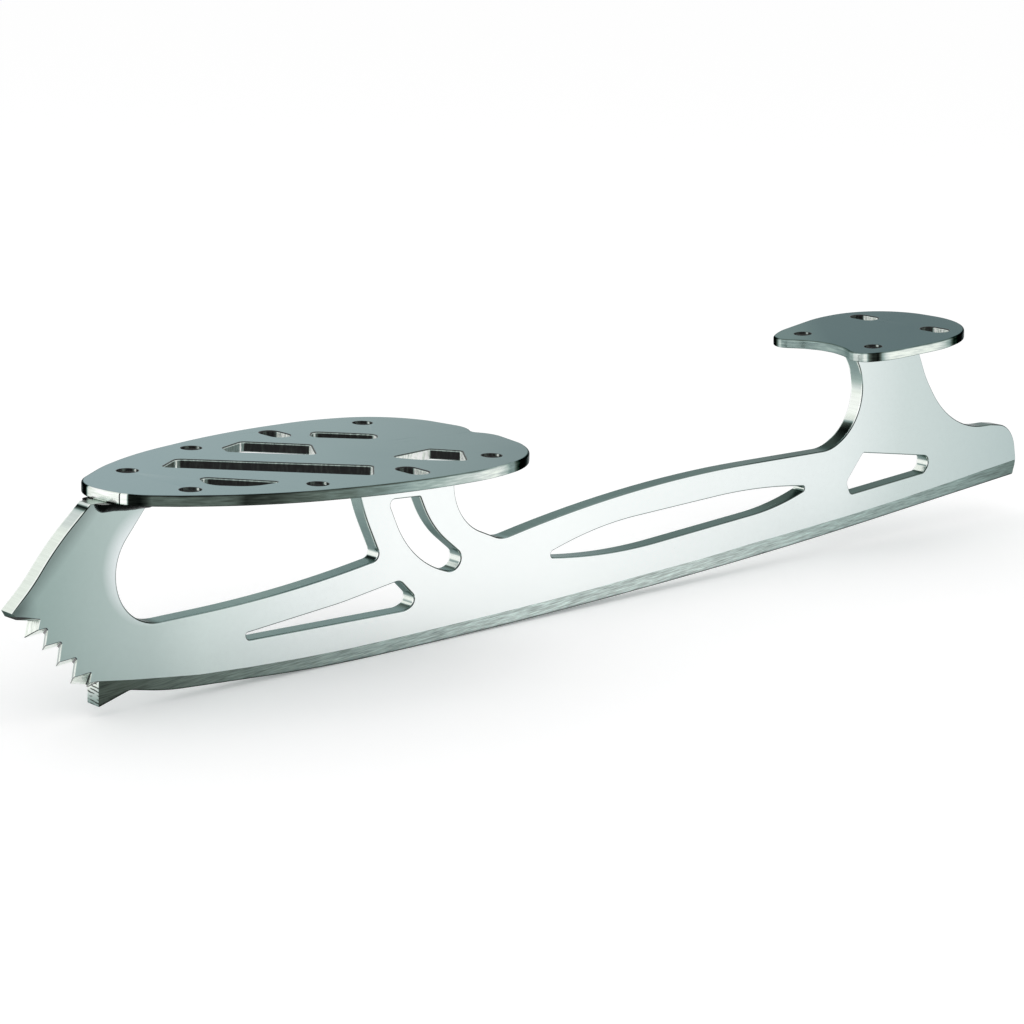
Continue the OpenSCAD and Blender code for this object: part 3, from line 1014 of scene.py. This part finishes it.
        # Corners with the radius of their rims, their zones and their shares of the groove
        stretches = (
            ([(self.front_ends[1], -PLATE_T, 0)], 0.1, wall, 0),
            (self.leading, 0.3, wall, 0),
            (self.beak(y), (0.15, 0.12, 0.12, 0.1), (wall, dark, dark, cut), 0),
            (self.teeth(y), (*[0.16] * 9, 0.08, 0.08), (*[cut] * 10, hatched), 0),
            (self.drag + self.edge, 0.06, ground, (0, 0.4, 1, 1, 1, 0.6)),
            (self.tail, 0.3, wall, 0),
            ([(x, self.heel_under(x), 0) for x in self.heel_ends], 0.1, wall, 0),
            (self.deck, 0.3, wall, 0),
            ([(x, -PLATE_T, 0) for x in self.middle_ends], 0.1, wall, 0),
            (self.window, 0.3, wall, 0),
            ([(self.front_ends[0], -PLATE_T, 0)], 0.1, wall, 0),
        )
        sizes = [np.shape(rows)[-2] for rows, *_ in stretches]
        whole = [np.broadcast_to(s[0], (len(y), n, 3)) for s, n in zip(stretches, sizes)]
        rims, zones, groove = (
            np.concatenate([np.broadcast_to(s[k], n) for s, n in zip(stretches, sizes)]) for k in (1, 2, 3)
        )
        return np.concatenate(whole, 1), rims, zones, groove

    def wall(self) -> tuple[Array, Array, Array]:
        """Outer wall of the runner.

        Formula: the outline is carried from the left face to the right one while its teeth slide with the cut. At
        each rim it draws in by the rim's radius times one minus the cosine of the rim's angle. Along the ground
        edge it draws in by the groove's depth times one minus the square of the share of the half thickness.

        Returns:
            Points and normals with shape (u, v, 3), and the zone of each strip.
        """
        half, tooth_rim, nudge = self.thick / 2, 0.08, 0.01
        cut_y = Levels.depth(half, tooth_rim)
        whole, rims, zones, groove = self.corners(cut_y)
        points, normals = rounded(whole, self.least, self.steps)
        behind, ahead = (rounded(self.corners(cut_y + d)[0], self.least, self.steps)[0] for d in (-nudge, nudge))
        points, normals, drift = (a.transpose(1, 0, 2) for a in (points, normals, (ahead - behind) / (2 * nudge)))
        rim, deep = (np.repeat(row, self.steps)[:, None] for row in (rims, groove * self.hollow))
        y = Levels.depth(half, rim)
        drawn = rim * (1 - np.cos(Levels.angle)) + deep * (1 - (y / half) ** 2)
        flat = points - normals * drawn[..., None]
        skew = -(drift * normals).sum(-1) - 2 * deep * y / half**2
        wall = unit(np.stack([normals[..., 0], skew, normals[..., 1]], -1))
        return np.stack([flat[..., 0], y, flat[..., 1]], -1), Levels.facing(wall), np.repeat(zones, self.steps)

    def slot_wall(self, corners: tuple) -> tuple[Array, Array, Array]:
        """Wall of a slot.

        Formula: the slot's outline is carried straight through, and opens at each rim by the rim's radius times one
        minus the cosine of the rim's angle. A rim is as wide as the corner's radius, up to 0.3.

        Args:
            corners: Corners of the slot as x, z and radius.

        Returns:
            Points and normals with shape (u, v, 3), and the zone of each strip.
        """
        rows = np.array(corners, float)
        points, out = rounded(rows, self.least, self.steps)
        rim = np.repeat(np.clip(rows[:, 2], 0.1, 0.3), self.steps)[:, None]
        flat = points[:, None] + out[:, None] * (rim * (1 - np.cos(Levels.angle)))[..., None]
        inward = np.stack([-out[:, 0], 0 * out[:, 0], -out[:, 1]], -1)[:, None]
        placed = np.stack([flat[..., 0], Levels.depth(self.thick / 2, rim), flat[..., 1]], -1)
        return placed, Levels.facing(inward), np.full(len(points), Zone.WALL.value)

    def tone(self, points: Array, normals: Array, strips: Array, outer: bool) -> Array:
        """Tones of a wall, painted reflections by its angle in side view and the zone of each strip.

        Formula: a dark band lies across the leading edge under the sole plate, walls that face up get painted shade at
        the rear and painted light towards the toe, and the steep faces of the teeth have a grey stripe down the middle
        of the thickness.

        Args:
            points: Points with shape (u, v, 3).
            normals: Normals with the same shape.
            strips: Zone of each of the u strips.
            outer: Whether it is the outer wall.

        Returns:
            Tones and shares with shape (u, v, 2).
        """
        middle = normals[:, normals.shape[1] // 2]
        angle = np.degrees(np.arctan2(middle[:, 2], middle[:, 0]))[:, None] * np.ones(normals.shape[1])
        turn = np.broadcast_to(np.abs(Levels.side) * np.maximum(Levels.angle * 2 / np.pi, GLEAM_AT), angle.shape)
        count = (1 + len(self.leading) + len(self.beak_left) + 1) * self.steps * outer
        leading = (np.arange(len(strips)) < count)[:, None]
        shade = looked_up(points[..., 2], PLATE_SHADE)
        front = LEADING_REFLECTIONS.tone(angle, turn) * np.stack([shade, 0 * shade + 1], -1)
        lift = looked_up(points[..., 0], WALL_LIFT) * looked_up(np.abs(angle - 90), UPWARD)
        tone = (RUNNER_REFLECTIONS if outer else SLOT_REFLECTIONS).tone(angle, turn) + lift[..., None] * [1, 0]
        striped = (np.abs(angle) < self.striped[0]) & (points[..., 0] < self.striped[1])
        stripe = looked_up(Levels.past, TOOTH_STRIPE) * striped
        cut = CUT_REFLECTIONS.tone(angle, turn)
        kinds = {
            Zone.CUT: cut - stripe[..., None] * [1, 0],
            Zone.HATCHED: cut * [1.1, 1],
            Zone.GROUND: np.where((turn == 1)[..., None], (0.08, 0.0), GROUND_REFLECTIONS.tone(angle, turn)),
        }
        tone = np.where(leading[..., None], front, tone)
        for zone, own in kinds.items():
            tone = np.where(strips[:, None, None] == zone.value, own, tone)
        return tone

    def build(self, name: str) -> Piece:
        """Makes the runner's mesh.

        Args:
            name: Name of the piece.

        Returns:
            The runner.
        """
        work = Patchwork()
        walls = [self.wall()] + [self.slot_wall(corners) for corners in self.slots]
        firsts = [work.add_grid(p, n, self.tone(p, n, z, k == 0), z) for k, (p, n, z) in enumerate(walls)]
        band = np.array(self.band, float)
        wave = sum(height * np.sin(band[:, 0] * pace + phase) for height, pace, phase in self.waves)
        band[1:-1, 1] += wave[1:-1]
        for side, column in ((Side.LEFT, 0), (Side.RIGHT, -1)):
            faces, centres = work.add_flat([points for points, _, _ in walls], firsts, column, [0, 2], band)
            limit = np.interp(-centres[:, 0], -band[:, 0], band[:, 1])
            ground = (centres[:, 0] < band[0, 0]) & (centres[:, 1] < limit)
            work.add_faces(faces, [0, side.value, 0], np.where(ground, Zone.GROUND.value, Zone.PLATED.value))
        return work.mesh(name)


# Plates


def section(rows: list[tuple[float, float, float]], steps: int = 5) -> tuple[Array, Array]:
    """Section of a plate's edge, from its top face to its underside.

    Formula: an open line of corners, rounded as an outline is, of which only the arcs are kept.

    Args:
        rows: Corners as the distance into the material, the height and the radius.
        steps: Points in each arc.

    Returns:
        Points as distance and height, and their normals, both with shape (v, 2).
    """
    far, least = 40.0, 0.02
    closed = [(far, rows[0][1], 0), *rows, (far, rows[-1][1], 0)]
    points, normals = rounded(np.array(closed, float), least, steps)
    return points[steps:-steps], normals[steps:-steps]


@dataclass
class Plate:
    """A flat mounting plate with holes and slots.

    Attributes:
        name: Name of the piece.
        half_side: One half of the outline as x, half width and radius, front to rear.
        holes, slots: Centres of the round holes and of the sideways slots.
        cuts: Lightening slots, each a row of corners.
        nose: Corners across the front that have no mirror image, from right to left.
        rise, pitch, pivot: Height of the top at the pivot, slope up to the rear in degrees, and the pivot's x.
        edge_reflections: Tones of the outer edge.
        thick: Thickness of the plate.
        hole_d, sink_d: Diameter of a hole, which is also a slot's width, and of its countersink.
        slot_l: Length of a sideways slot.
        least: Smallest radius of a corner in plan.
    """

    name: str
    half_side: Table
    holes: Table
    slots: tuple
    cuts: tuple = ()
    nose: Table = ()
    rise: float = 0.0
    pitch: float = 0.0
    pivot: float = 0.0
    # Painted reflections on the outer edge
    edge_reflections: PaintedReflections = SOLE_REFLECTIONS
    thick: float = PLATE_T
    hole_d: float = 4.3
    sink_d: float = 7.6
    slot_l: float = 7.5
    least: float = 0.3

    def outline(self) -> Array:
        """Corners of the whole outline: the left half, its mirror image and the nose."""
        left = np.array(self.half_side, float)
        return np.concatenate([left, left[::-1] * [1, -1, 1], np.array(self.nose, float).reshape(-1, 3)])

    def walls(self) -> list[tuple[Array, Array, PaintedReflections]]:
        """Walls of the outline, the holes, the slots and the cuts.

        Returns:
            Points and normals of each wall with shape (u, v, 3), and its tones, the outer wall first.
        """
        t, r, sink = self.thick, self.hole_d / 2, (self.sink_d - self.hole_d) / 2
        outer = section([(0, 0, 0.45), (0, -t, 0.3)])
        plain = section([(0, 0, 0.42), (0, -t, 0.2)])
        sunk = section([(0, 0, 0.16), (0, sink - t, 0.1), (sink, -t, 0.1)])
        steps, cut_steps = 14, 10
        made = [(*self.wall(self.outline(), outer, 1, steps), self.edge_reflections)]
        for places, half, edge, kind in (
            (self.holes, r, sunk, HOLE_REFLECTIONS),
            (self.slots, self.slot_l / 2, plain, SIDEWAYS_REFLECTIONS),
        ):
            for x, y in places:
                box = [(x + r, y + half, r), (x - r, y + half, r), (x - r, y - half, r), (x + r, y - half, r)]
                made.append((*self.wall(box, edge, -1, steps), kind))
        return made + [(*self.wall(cut, plain, -1, cut_steps), PIERCED_REFLECTIONS) for cut in self.cuts]

    def wall(
        self, corners: Array | tuple | list, edge: tuple[Array, Array], way: int, steps: int
    ) -> tuple[Array, Array]:
        """One wall.

        Formula: its outline in plan is carried down a section, drawn into the material by the section's distance.

        Args:
            corners: Corners of its outline in plan.
            edge: Its section.
            way: 1 for the outside, -1 for a hole.
            steps: Points in each arc.

        Returns:
            Points and normals with shape (u, v, 3), level, with the plate's top at zero height.
        """
        points, out = rounded(np.array(corners, float), self.least, steps)
        inward = -way * out[:, None]
        made = []
        for base, rows in zip((points[:, None], 0), edge):
            flat = base + inward * rows[:, :1]
            made.append(np.concatenate([flat, np.broadcast_to(rows[:, 1:], (*flat.shape[:2], 1))], -1))
        return made[0], unit(made[1])

    def turned(self, normals: Array) -> Array:
        """Directions turned from the level plate to its real slope."""
        a = np.radians(self.pitch)
        return normals @ np.array([[np.cos(a), 0, -np.sin(a)], [0, 1, 0], [np.sin(a), 0, np.cos(a)]])

    def seated(self, points: Array) -> Array:
        """Points moved from the level plate to its real height and slope."""
        return self.turned(points - [self.pivot, 0, 0]) + [self.pivot, 0, self.rise]

    def build(self) -> Piece:
        """Makes the plate's mesh.

        Returns:
            The plate.
        """
        work = Patchwork()
        walls = self.walls()
        least_bend, beside = 1e-4, 4
        firsts = []
        for number, (points, normals, kind) in enumerate(walls):
            angle = np.degrees(np.arctan2(normals[..., 1], normals[..., 0]))
            turn = np.abs(np.arcsin(np.clip(normals[..., 2], -1, 1))) * 2 / np.pi
            ring = normals[:, normals.shape[1] // 2, :2]
            bend = crossed(np.roll(ring, 1, 0), np.roll(ring, -1, 0))
            bent_in = bend * np.sign(bend.sum()) < -least_bend
            hollow = np.any([np.roll(bent_in, k) for k in range(-beside, beside + 1)], 0)[:, None]
            zone = PlateZone.PIERCED if number else PlateZone.EDGE
            strips = np.full(len(points), zone.value)
            tones = kind.tone(angle, turn, hollow)
            firsts.append(work.add_grid(self.seated(points), self.turned(normals), tones, strips))
        for column, up in ((0, 1), (-1, -1)):
            faces, _ = work.add_flat([points for points, _, _ in walls], firsts, column, [0, 1])
            work.add_faces(faces, self.turned(np.array([0, 0, up])), PlateZone.FACE.value)
        return work.mesh(self.name)


def sole_plate() -> Plate:
    """The large plate under the sole.

    Returns:
        The plate.
    """
    half, row, spacing = 30.2, -14.8, 22.8
    shares = (
        (-24.5, 0.755, 76), (-52.5, 0.992, 112), (-75.2, 0.996, 46), (-91.9, 0.852, 21), (-97, 0.495, 12),
        (-99.2, 0.132, 9), (-96.8, 0.022, 2),
    )
    cuts = (
        ((-7.4, -9.2, 1), (-14.1, -13.7, 1.5), (-42.1, 13.9, 1), (-36.5, 20.6, 1)),
        ((-26.8, -13.2, 1), (-28.2, -17, 1.5), (-35.1, -19.8, 1.5), (-44.8, -9.2, 1), (-39.5, -0.9, 1)),
        ((-7.8, 2.2, 1.4), (-18.4, 14.9, 0.7), (-11.2, 14.8, 8), (-5.2, 9, 4)),
        ((-49.7, -15.2, 2), (-53.6, -19.4, 1.5), (-62.8, -9.6, 2), (-59.8, -5.6, 2)),
        ((-50.6, 9.9, 1), (-62.4, 8.4, 0.6), (-66.4, 13.6, 1), (-60.8, 21.2, 1), (-53.7, 15, 10)),
    )
    return Plate(
        name="sole_plate_plated",
        half_side=tuple((x, w * half, r) for x, w, r in shares),
        holes=tuple((row - n * spacing, s * w / 2) for n, w in ((0, 20.6), (1, 41), (3, 41.2)) for s in (1, -1)),
        slots=tuple((row - 2 * spacing, s * 22.1) for s in (1, -1)),
        cuts=tuple(tuple((row + x, y, r) for x, y, r in cut) for cut in cuts),
        nose=((-12.5, -16.3, 40), (0, -7.1, 11), (-1.3, 2.1, 12), (-2.15, 5.2, 1.3), (-4.3, 9, 15), (-10.1, 13.6, 20)),
    )


def heel_plate() -> Plate:
    """The small plate under the heel, which slopes up to the rear.

    Returns:
        The plate.
    """
    half, apart = 20.5, 11.2
    shares = (
        (-213.3, 0.09, 6), (-212.2, 0.307, 15), (-208, 0.663, 4.5), (-215.8, 0.878, 20), (-233.8, 1.01, 26),
        (-249.2, 0.883, 18), (-254.1, 0.24, 19),
    )
    return Plate(
        name="heel_plate_plated",
        half_side=tuple((x, w * half, r) for x, w, r in shares),
        holes=((HEEL_X, apart), (HEEL_X, -apart)),
        slots=((HEEL_X - 24, apart), (HEEL_X - 24, -apart)),
        rise=HEEL_RISE,
        pitch=HEEL_PITCH,
        pivot=HEEL_X,
        edge_reflections=HEEL_REFLECTIONS,
    )


# Braze


@dataclass
class BrazeBead:
    """The run of braze metal between a post and a plate.

    Attributes:
        name: Name of the piece.
        front, rear: Its ends along the blade.
        side: Side of the runner.
        host: The plate above, for its height and slope.
        leg: Reach along the post and the plate.
        taper: Share of the reach that is lost from the front end to the rear, or won where it is negative.
        power: Power in the curve across: 2 for a round bulge, less for a hollow fillet.
        half_t: Half the runner's thickness.
        sections, across: Sections along the bead, and points in the curve across.
        crowd: How much the sections crowd towards the ends.
        end, tip: Length of each rounded end, and share of the reach that is left at its tip.
        mean, waves: Share of the reach about which it swells, and height and radians per millimetre of its two waves.
    """

    name: str
    front: float
    rear: float
    side: Side
    host: Plate
    leg: float = 1.8
    taper: float = 0.0
    power: float = 1.25
    half_t: float = RUNNER_T / 2
    sections: int = 61
    across: int = 13
    crowd: float = 0.6
    end: float = 1.5
    tip: float = 0.06
    mean: float = 0.95
    waves: Table = ((0.03, 0.9), (0.005, 3.1))

    def build(self) -> Piece:
        """Makes the bead's mesh.

        Formula: across, the bead's surface is the curve on which the distances from post and plate, each to the
        same power, sum to one. Along, its reach follows half an ellipse at both ends and swells a little in slow
        waves between them. Its back is the corner of post and plate.

        Returns:
            The bead.
        """
        s = np.linspace(0, 1, self.sections)
        s = (s - np.sin(2 * np.pi * s) / (2 * np.pi) * self.crowd)[:, None]
        length = self.front - self.rear
        x = self.rear + s * length
        rest = 1 - np.minimum(np.minimum(s, 1 - s) * length / self.end, 1)
        (slow, slow_pace), (fast, fast_pace) = self.waves
        swell = slow * np.sin(x * slow_pace + self.side.value) + fast * np.sin(x * fast_pace) - self.taper * (1 - s)
        reach = self.leg * (self.mean + swell) * (self.tip + (1 - self.tip) * np.sqrt(1 - rest**2))
        q = np.linspace(0, np.pi / 2, self.across)[None]
        out, down = (np.concatenate([reach * f(q) ** (2 / self.power), 0 * s], 1) for f in (np.cos, np.sin))
        y = self.side.value * (self.half_t + out)
        placed = self.host.seated(np.stack([np.broadcast_to(x, y.shape), y, -self.host.thick - down], -1))
        work = Patchwork()
        work.add_points(placed.reshape(-1, 3))
        n = self.across + 1
        i, j = np.meshgrid(np.arange(self.sections - 1), np.arange(n), indexing="ij")
        k = (j + 1) % n
        quads = np.stack([i * n + j, i * n + k, (i + 1) * n + k, (i + 1) * n + j], -1).reshape(-1, 4)
        middle = placed.mean(1)
        a, b, c, d = placed.reshape(-1, 3)[quads].swapaxes(0, 1)
        away = (a + b + c + d) / 4 - middle[i.ravel()]
        facing = unit(np.cross(c - a, d - b))
        work.add_faces(quads, (facing * np.sign((facing * away).sum(1, keepdims=True) + 1e-12))[:, None], 0)
        for ring, way in ((0, -1.0), (self.sections - 1, 1.0)):
            hub = work.add_points(middle[ring][None])
            rim = ring * n + np.arange(n)
            work.add_faces(np.stack([np.full(n, hub), rim, np.roll(rim, -1)], 1), [way, 0, 0], 0)
        return work.mesh(self.name)


# Studio


@dataclass
class Studio:
    """Floor, light and camera.

    Attributes:
        eye, gaze: Place of the camera in millimetres, and direction in which it looks.
        roll: Its turn about that direction, in degrees.
        focal, centre: Focal length in pixels, and the pixel that the gaze goes through.
        frame, sensor: Width of the picture in pixels, and of the sensor in millimetres.
        floor_half: Half the floor's side in metres.
        floor_white, floor_glow: Share of the light that the floor sends back, and light of its own for the camera.
        sky: Strength of the white surroundings as a light. The camera sees them at one.
        lamps: Soft square lamps, each with its name, its place and aim in metres, its side and its power in watts.
    """

    eye: tuple[float, float, float] = (270.06, 398.43, 109.66)
    gaze: tuple[float, float, float] = (-0.682197, -0.694176, -0.229624)
    roll: float = 1.942
    focal: float = 2574.6
    centre: tuple[float, float] = (552.33, 515.94)
    frame: float = 1024.0
    sensor: float = 36.0
    floor_half: float = 6.0
    floor_white: float = 0.93
    floor_glow: float = 0.2
    sky: float = 0.85
    lamps: tuple = (
        ("top_lamp", (-0.1, 0.15, 1.0), (-0.14, 0, 0), 0.7, 0.7),
        ("front_lamp", (0.9, -0.25, 0.45), (-0.1, 0, 0), 0.5, 0.5),
    )

    def camera(self) -> None:
        """Places the camera at the photograph's viewpoint."""
        data = bpy.data.cameras.new("camera")
        data.sensor_width = self.sensor
        data.lens = self.focal / self.frame * self.sensor
        data.shift_x = -(self.centre[0] / self.frame - 0.5)
        data.shift_y = self.centre[1] / self.frame - 0.5
        data.clip_start, data.clip_end = 0.01, 50.0
        turn = Matrix.Rotation(np.radians(self.roll), 4, "Z")
        bpy.context.scene.camera = linked("camera", data, aimed(Vector(self.eye) * MM, Vector(self.gaze)) @ turn)

    def seen(self, g: Graph) -> Socket:
        """Tells what the camera sees, straight on or in polished metal, from the light itself.

        Args:
            g: Graph to add to.

        Returns:
            1 for what is seen and 0 for light.
        """
        path = g.add("LightPath").outputs
        shown = g.maths("MAXIMUM", path["Is Camera Ray"], path["Is Glossy Ray"])
        return g.maths("MAXIMUM", shown, path["Is Transmission Ray"])

    def floor(self, height: float) -> None:
        """Lays a plain pale floor.

        Args:
            height: Its height in metres.
        """
        data = bpy.data.meshes.new("floor")
        corners = [(x * self.floor_half, y * self.floor_half, height) for x, y in ((-1, -1), (1, -1), (1, 1), (-1, 1))]
        data.from_pydata(corners, [], [(0, 1, 2, 3)])
        made = bpy.data.materials.new("pale_floor")
        g = cleared(made)
        glow = g.maths("MULTIPLY", self.seen(g), self.floor_glow)
        pale = g.add("BsdfDiffuse", {"Color": (*[self.floor_white] * 3, 1)})
        white = g.add("Emission", {"Color": (1, 1, 1, 1), "Strength": glow})
        both = g.add("AddShader", {0: pale.outputs[0], 1: white.outputs[0]})
        g.add("OutputMaterial", {"Surface": both.outputs[0]})
        data.materials.append(made)
        linked("floor", data)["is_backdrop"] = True

    def world(self) -> None:
        """White surroundings for the camera and the metal, and soft light of the same colour."""
        world = bpy.data.worlds.new("studio")
        g = cleared(world)
        light = g.add("Background", {"Color": (1, 1, 1, 1), "Strength": g.spread(self.seen(g), 0, 1, self.sky, 1)})
        g.add("OutputWorld", {"Surface": light.outputs[0]})
        bpy.context.scene.world = world

    def build(self, height: float) -> None:
        """Sets up the whole studio.

        Args:
            height: Height of the floor in metres.
        """
        self.camera()
        self.floor(height)
        self.world()
        for name, place, aim, size, power in self.lamps:
            data = bpy.data.lights.new(name, "AREA")
            data.shape, data.size, data.energy = "SQUARE", size, power
            linked(name, data, aimed(Vector(place), Vector(aim) - Vector(place)))


# Assembly


RUNNER_FINISHES = [RUNNER_PLATING_AND_REFLECTIONS, RUNNER_WALL, GROUND_EDGE, CUT_STEEL, HATCH, DARK_UNDERSIDE]


@dataclass
class SkateBlade:
    """The whole blade and its finishes.

    Attributes:
        runner: The runner.
        sole: The sole plate.
        heel: The heel plate.
        leg: Reach of the hidden beads.
    """

    runner: Runner = field(default_factory=Runner)
    sole: Plate = field(default_factory=sole_plate)
    heel: Plate = field(default_factory=heel_plate)
    leg: float = 1.8

    def finish(self, piece: Piece, node: str, finishes: list[MetalFinish]) -> None:
        """Gives a piece its materials and its place in the frame.

        Args:
            piece: The piece.
            node: The node that it stands for.
            finishes: Its finishes in the order of the zones.
        """
        for kind in finishes:
            piece.data.materials.append(bpy.data.materials.get(kind.name) or kind.material())
        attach(piece, "root")
        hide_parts(node)
        LOG.info("%s: %d faces, stands for %s", piece.name, len(piece.data.polygons), node)

    def build(self) -> None:
        """Builds and dresses every piece in order."""
        streak_effect()
        handling_effect()
        self.finish(self.runner.build("runner_polished"), "runner", RUNNER_FINISHES)
        self.finish(self.sole.build(), "sole_plate", [SOLE_PLATING_AND_REFLECTIONS, PLATE_EDGE, PIERCED_EDGE])
        self.finish(self.heel.build(), "heel_plate", [HEEL_PLATING_AND_REFLECTIONS, PLATE_EDGE, PIERCED_EDGE])
        (middle_rear, middle_front), (heel_rear, heel_front) = self.runner.middle_ends, self.runner.heel_ends
        leg = self.leg
        # Hidden beads end where the sides of their posts lean, by shares of the reach
        stretches = (
            ("front", 0.9, -12.1, self.sole, 1.95, -0.34, 2.0),
            ("middle", middle_front - 0.4 * leg, middle_rear + 0.3 * leg, self.sole, leg, 0.0, 1.25),
            ("heel", heel_front - 0.7 * leg, heel_rear, self.heel, leg, 0.0, 1.25),
        )
        for place, front, rear, host, reach, taper, power in stretches:
            for side in Side:
                word = side.name.lower()
                bead = BrazeBead(f"bead_{place}_{word}", front, rear, side, host, reach, taper, power).build()
                self.finish(bead, f"braze_{place}_{word}", [BRAZE])


def main() -> None:
    """Loads the frame, dresses it and sets up the studio."""
    logging.basicConfig(level=logging.INFO, format="%(name)s: %(message)s")
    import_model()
    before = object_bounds()
    bpy.context.scene.view_settings.view_transform = "Standard"
    SkateBlade().build()
    Studio().build(float(before[0][2]))


if __name__ == "__main__":
    main()
